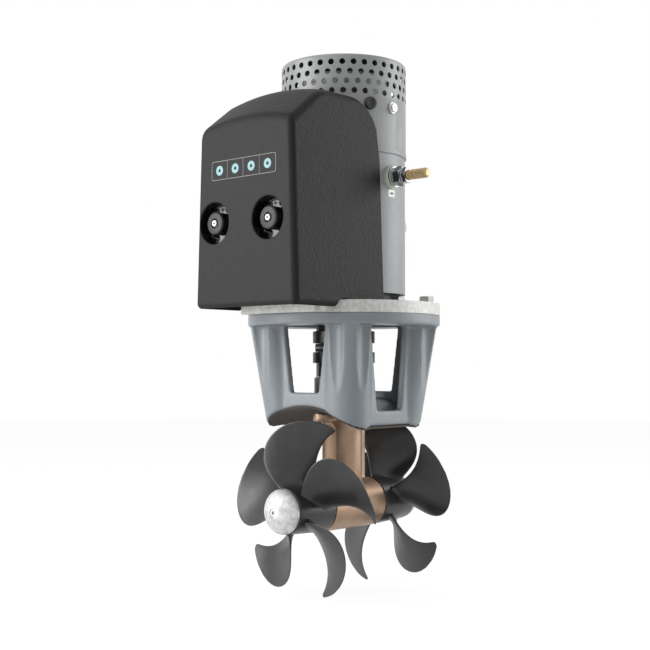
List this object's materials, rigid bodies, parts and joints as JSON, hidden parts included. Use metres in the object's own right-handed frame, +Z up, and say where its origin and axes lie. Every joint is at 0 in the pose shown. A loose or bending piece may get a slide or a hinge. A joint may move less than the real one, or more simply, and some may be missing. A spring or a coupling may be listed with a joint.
{
  "type": "bow thruster",
  "caption": "Electric tunnel bow thruster: DC motor with a covered contactor on a bracket that clamps a tunnel over a bronze gear leg, with a propeller on each end of its cross shaft.",
  "frame": {"origin": "where the drive shaft's axis crosses the propeller shaft's axis, on the tunnel's centre line", "axes": "+Z up along the drive shaft and motor, +X along the propeller shaft and the tunnel away from the cover"},
  "size_m": [0.2459, 0.204, 0.5249],
  "materials": {
    "bronze": "satin",
    "gear_steel": "satin",
    "bright_steel": "bright",
    "bearing_steel": "bright",
    "seal_rubber": "matt",
    "prop_plastic": "satin",
    "zinc": "cast",
    "painted_bracket": "satin",
    "gasket": "matt",
    "plate_alloy": "mill",
    "motor_paint": "satin",
    "vent_paint": "satin",
    "pole_iron": "dull",
    "copper": "drawn",
    "brass": "satin",
    "insulator": "matt",
    "carbon": "matt",
    "cover_plastic": "grained",
    "knob_plastic": "gloss",
    "box_plastic": "matt",
    "coupling_alloy": "turned"
  },
  "bodies": {
    "housing": {"gear_leg": "bronze", "bearing_cover": "bronze", "prop_bearings": "bearing_steel", "prop_seals": "seal_rubber", "drive_bearings": "bearing_steel", "drive_seal": "seal_rubber", "bracket": "painted_bracket", "saddle_gasket": "gasket", "leg_bolts": "bright_steel", "adapter_plate": "plate_alloy", "plate_bolts": "bright_steel", "motor_bolts": "bright_steel", "drive_end_shield": "motor_paint", "motor_yoke": "motor_paint", "motor_bearings": "bearing_steel", "brush_end_shield": "plate_alloy", "vent_cover": "vent_paint", "band_bolt": "bright_steel", "lead_grommet": "seal_rubber", "pole_shoes": "pole_iron", "field_coils": "copper", "pole_screws": "motor_paint", "brush_plate": "carbon", "brush_holders": "brass", "brushes": "carbon", "terminal_insulators": "insulator", "terminal_studs": "brass", "terminal_washers": "bright_steel", "terminal_nuts": "bright_steel", "electronics_rack": "bright_steel", "cover_studs": "bright_steel", "contactor": "box_plastic", "contactor_studs": "copper", "control_box": "box_plastic", "bus_bar": "copper"},
    "drive_train": {"motor_shaft": "bright_steel", "armature_core": "pole_iron", "armature_windings": "copper", "commutator": "copper", "coupling_upper": "coupling_alloy", "coupling_element": "seal_rubber", "coupling_rollers": "bright_steel", "coupling_lower": "coupling_alloy", "drive_shaft": "bright_steel", "pinion": "gear_steel"},
    "propeller_train": {"prop_shaft": "bright_steel", "crown_gear": "gear_steel", "propeller_left": "prop_plastic", "propeller_right": "prop_plastic", "drive_pins": "bright_steel", "prop_washers": "bright_steel", "prop_nuts": "bright_steel", "anode_left": "zinc", "anode_right": "zinc", "anode_screws": "bright_steel"},
    "cover_shell": {"cover": "cover_plastic"},
    "left_knob": {"knob_left": "knob_plastic"},
    "right_knob": {"knob_right": "knob_plastic"}
  },
  "joints": [
    {"name": "motor_spin", "type": "hinge", "parent": "housing", "child": "drive_train", "pos_m": [0, 0, 0], "axis": [0, 0, 1], "continuous": true},
    {"name": "propeller_spin", "type": "hinge", "parent": "housing", "child": "propeller_train", "pos_m": [0, 0, 0], "axis": [1, 0, 0], "continuous": true},
    {"name": "cover_off", "type": "slide", "parent": "housing", "child": "cover_shell", "axis": [-1, 0, 0], "range_m": [0, 0.15]},
    {"name": "knob_left_turn", "type": "hinge", "parent": "cover_shell", "child": "left_knob", "pos_m": [-0.1423, 0.04, 0.2745], "axis": [1, 0, 0], "continuous": true},
    {"name": "knob_right_turn", "type": "hinge", "parent": "cover_shell", "child": "right_knob", "pos_m": [-0.1423, -0.031, 0.2745], "axis": [1, 0, 0], "continuous": true}
  ],
  "couplings": [
    {"joint": "propeller_spin", "follows": "motor_spin", "ratio": -0.5}
  ]
}
